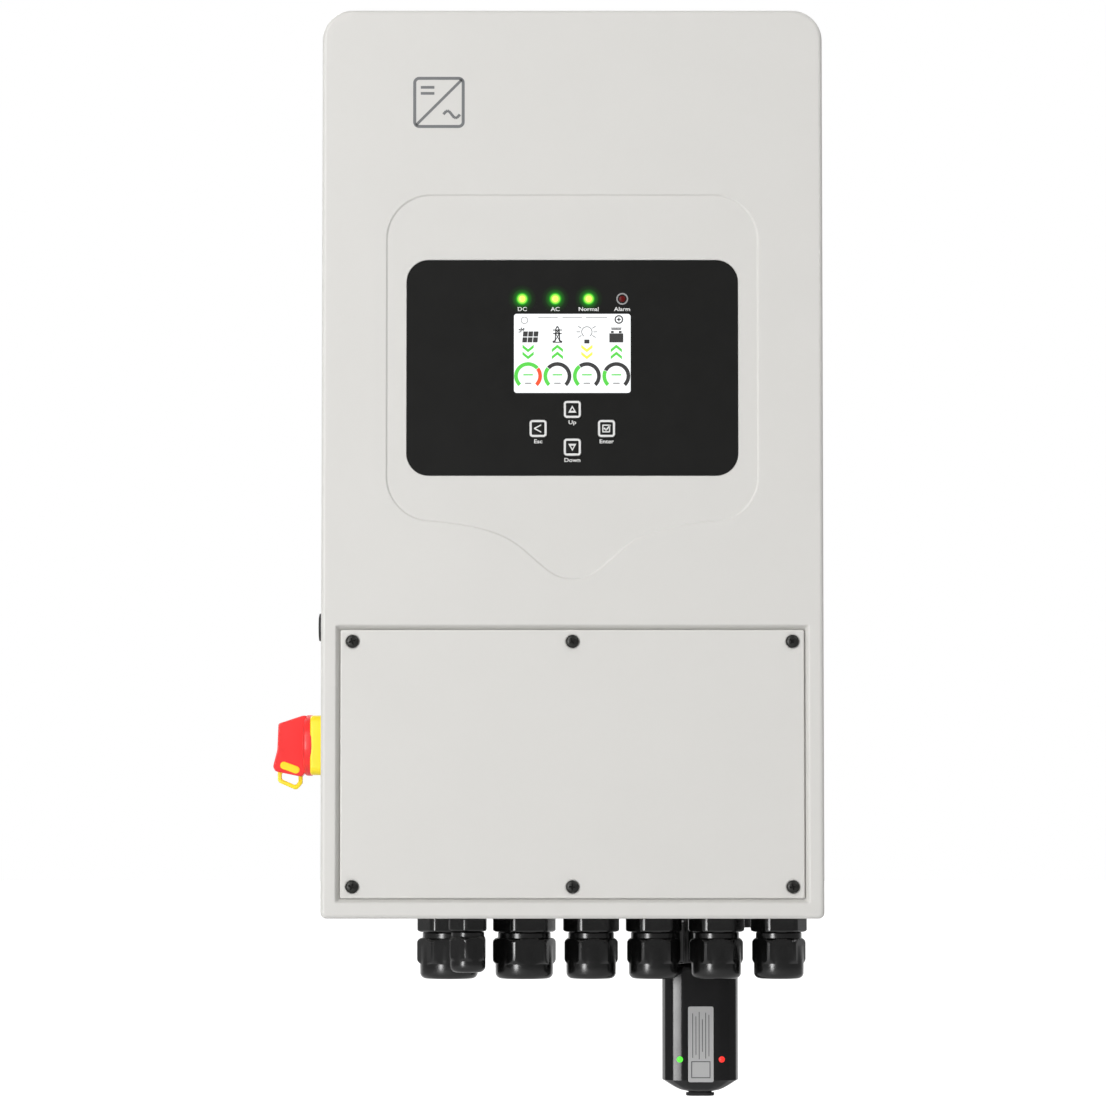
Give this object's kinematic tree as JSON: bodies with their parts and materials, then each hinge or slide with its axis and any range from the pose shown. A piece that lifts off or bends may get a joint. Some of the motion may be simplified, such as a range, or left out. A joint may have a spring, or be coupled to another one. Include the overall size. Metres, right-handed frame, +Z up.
{
  "type": "string inverter",
  "caption": "Wall-hung solar string inverter: upright box with a display panel, screwed wiring cover, side isolator switch, underside cable glands and a plug-in stick logger.",
  "frame": {"origin": "on the wall plane, on the wall bracket's back face, at the body's middle in width and height", "axes": "+Z up, +Y into the wall, +X to the right as seen from the front; the front faces -Y"},
  "size_m": [0.3666, 0.232, 0.722],
  "materials": {
    "paint": "fine-textured light grey powder coat",
    "seal": "matte",
    "black_screw": "black oxide",
    "overlay": "satin",
    "screen": "lit screen",
    "board": "solder mask",
    "light_pipe": "clear",
    "dark_plastic": "matte",
    "winding": "enamelled copper",
    "zinc_steel": "zinc plated",
    "bezel_steel": "satin",
    "terminal": "moulded",
    "brass_bar": "milled",
    "switch_yellow": "satin",
    "switch_red": "satin",
    "gland_plastic": "glossy nylon",
    "logger_plastic": "glossy",
    "raw_aluminium": "extruded"
  },
  "bodies": {
    "inverter": {"main_housing": "paint", "front_cover": "paint", "housing_seal": "seal", "display_overlay": "overlay", "lcd_module": "screen", "display_board": "board", "status_light_pipe": "light_pipe", "power_board": "board", "control_board": "board", "dc_link_capacitor_1": "dark_plastic", "dc_link_capacitor_2": "dark_plastic", "boost_inductor": "winding", "filter_inductor": "winding", "divider_plate": "zinc_steel", "pv_terminal_block": "terminal", "battery_terminal_block": "terminal", "ac_terminal_block": "terminal", "ground_bar": "brass_bar", "dc_switch_base": "switch_yellow", "dc_switch_body": "dark_plastic", "power_button_bezel": "bezel_steel", "gland_1_body": "gland_plastic", "gland_2_body": "gland_plastic", "gland_3_body": "gland_plastic", "gland_4_body": "gland_plastic", "gland_5_body": "gland_plastic", "gland_6_body": "gland_plastic", "gland_7_body": "gland_plastic", "logger_socket": "dark_plastic", "logger_body": "logger_plastic", "vent_plug": "dark_plastic", "heat_sink": "raw_aluminium", "wall_bracket": "zinc_steel", "hanger_bracket": "zinc_steel", "lower_bracket": "zinc_steel"},
    "cover": {"wiring_cover": "paint", "cover_seal": "seal", "cover_screw_1": "black_screw", "cover_screw_2": "black_screw", "cover_screw_3": "black_screw", "cover_screw_4": "black_screw", "cover_screw_5": "black_screw", "cover_screw_6": "black_screw"},
    "switch_knob": {"dc_switch_knob": "switch_red"},
    "padlock": {"padlock_slide": "switch_yellow"},
    "power_button": {"power_button_cap": "dark_plastic"},
    "up_key": {"key_up": "overlay"},
    "down_key": {"key_down": "overlay"},
    "esc_key": {"key_esc": "overlay"},
    "enter_key": {"key_enter": "overlay"},
    "nut_1": {"gland_1_nut": "gland_plastic"},
    "nut_2": {"gland_2_nut": "gland_plastic"},
    "nut_3": {"gland_3_nut": "gland_plastic"},
    "nut_4": {"gland_4_nut": "gland_plastic"},
    "nut_5": {"gland_5_nut": "gland_plastic"},
    "nut_6": {"gland_6_nut": "gland_plastic"},
    "nut_7": {"gland_7_nut": "gland_plastic"},
    "lock_ring": {"logger_lock_ring": "gland_plastic"},
    "reset_button": {"logger_reset_button": "seal"}
  },
  "joints": [
    {"name": "dc_switch_turn", "type": "hinge", "parent": "inverter", "child": "switch_knob", "pos_m": [-0.177, -0.137, -0.185], "axis": [-1, 0, 0], "range_deg": [0, 90]},
    {"name": "padlock_slide", "type": "slide", "parent": "switch_knob", "child": "padlock", "axis": [0, 0, 1], "range_m": [0, 0.006]},
    {"name": "power_button_press", "type": "slide", "parent": "inverter", "child": "power_button", "axis": [1, 0, 0], "range_m": [0, 0.002], "stiffness_N_per_m": 1000},
    {"name": "key_up_press", "type": "slide", "parent": "inverter", "child": "up_key", "axis": [0, 1, 0], "range_m": [0, 0.0005], "stiffness_N_per_m": 2000},
    {"name": "key_down_press", "type": "slide", "parent": "inverter", "child": "down_key", "axis": [0, 1, 0], "range_m": [0, 0.0005], "stiffness_N_per_m": 2000},
    {"name": "key_esc_press", "type": "slide", "parent": "inverter", "child": "esc_key", "axis": [0, 1, 0], "range_m": [0, 0.0005], "stiffness_N_per_m": 2000},
    {"name": "key_enter_press", "type": "slide", "parent": "inverter", "child": "enter_key", "axis": [0, 1, 0], "range_m": [0, 0.0005], "stiffness_N_per_m": 2000},
    {"name": "gland_1_nut_turn", "type": "hinge", "parent": "inverter", "child": "nut_1", "pos_m": [-0.0825, -0.15, -0.32], "axis": [0, 0, 1], "range_deg": [0, 540]},
    {"name": "gland_2_nut_turn", "type": "hinge", "parent": "inverter", "child": "nut_2", "pos_m": [-0.032, -0.15, -0.32], "axis": [0, 0, 1], "range_deg": [0, 540]},
    {"name": "gland_3_nut_turn", "type": "hinge", "parent": "inverter", "child": "nut_3", "pos_m": [0.0129, -0.15, -0.32], "axis": [0, 0, 1], "range_deg": [0, 540]},
    {"name": "gland_4_nut_turn", "type": "hinge", "parent": "inverter", "child": "nut_4", "pos_m": [0.0549, -0.15, -0.32], "axis": [0, 0, 1], "range_deg": [0, 540]},
    {"name": "gland_5_nut_turn", "type": "hinge", "parent": "inverter", "child": "nut_5", "pos_m": [0.0969, -0.15, -0.32], "axis": [0, 0, 1], "range_deg": [0, 540]},
    {"name": "gland_6_nut_turn", "type": "hinge", "parent": "inverter", "child": "nut_6", "pos_m": [0.1389, -0.15, -0.32], "axis": [0, 0, 1], "range_deg": [0, 540]},
    {"name": "gland_7_nut_turn", "type": "hinge", "parent": "inverter", "child": "nut_7", "pos_m": [-0.0693, -0.186, -0.318], "axis": [0, 0, 1], "range_deg": [0, 540]},
    {"name": "logger_ring_turn", "type": "hinge", "parent": "inverter", "child": "lock_ring", "pos_m": [0.0874, -0.103, -0.32], "axis": [0, 0, 1], "range_deg": [0, 60]},
    {"name": "reset_button_press", "type": "slide", "parent": "inverter", "child": "reset_button", "axis": [0, 0, 1], "range_m": [0, 0.001], "stiffness_N_per_m": 1500},
    {"name": "wiring_cover_lift", "type": "slide", "parent": "inverter", "child": "cover", "axis": [0, -1, 0], "range_m": [0, 0.08]}
  ]
}
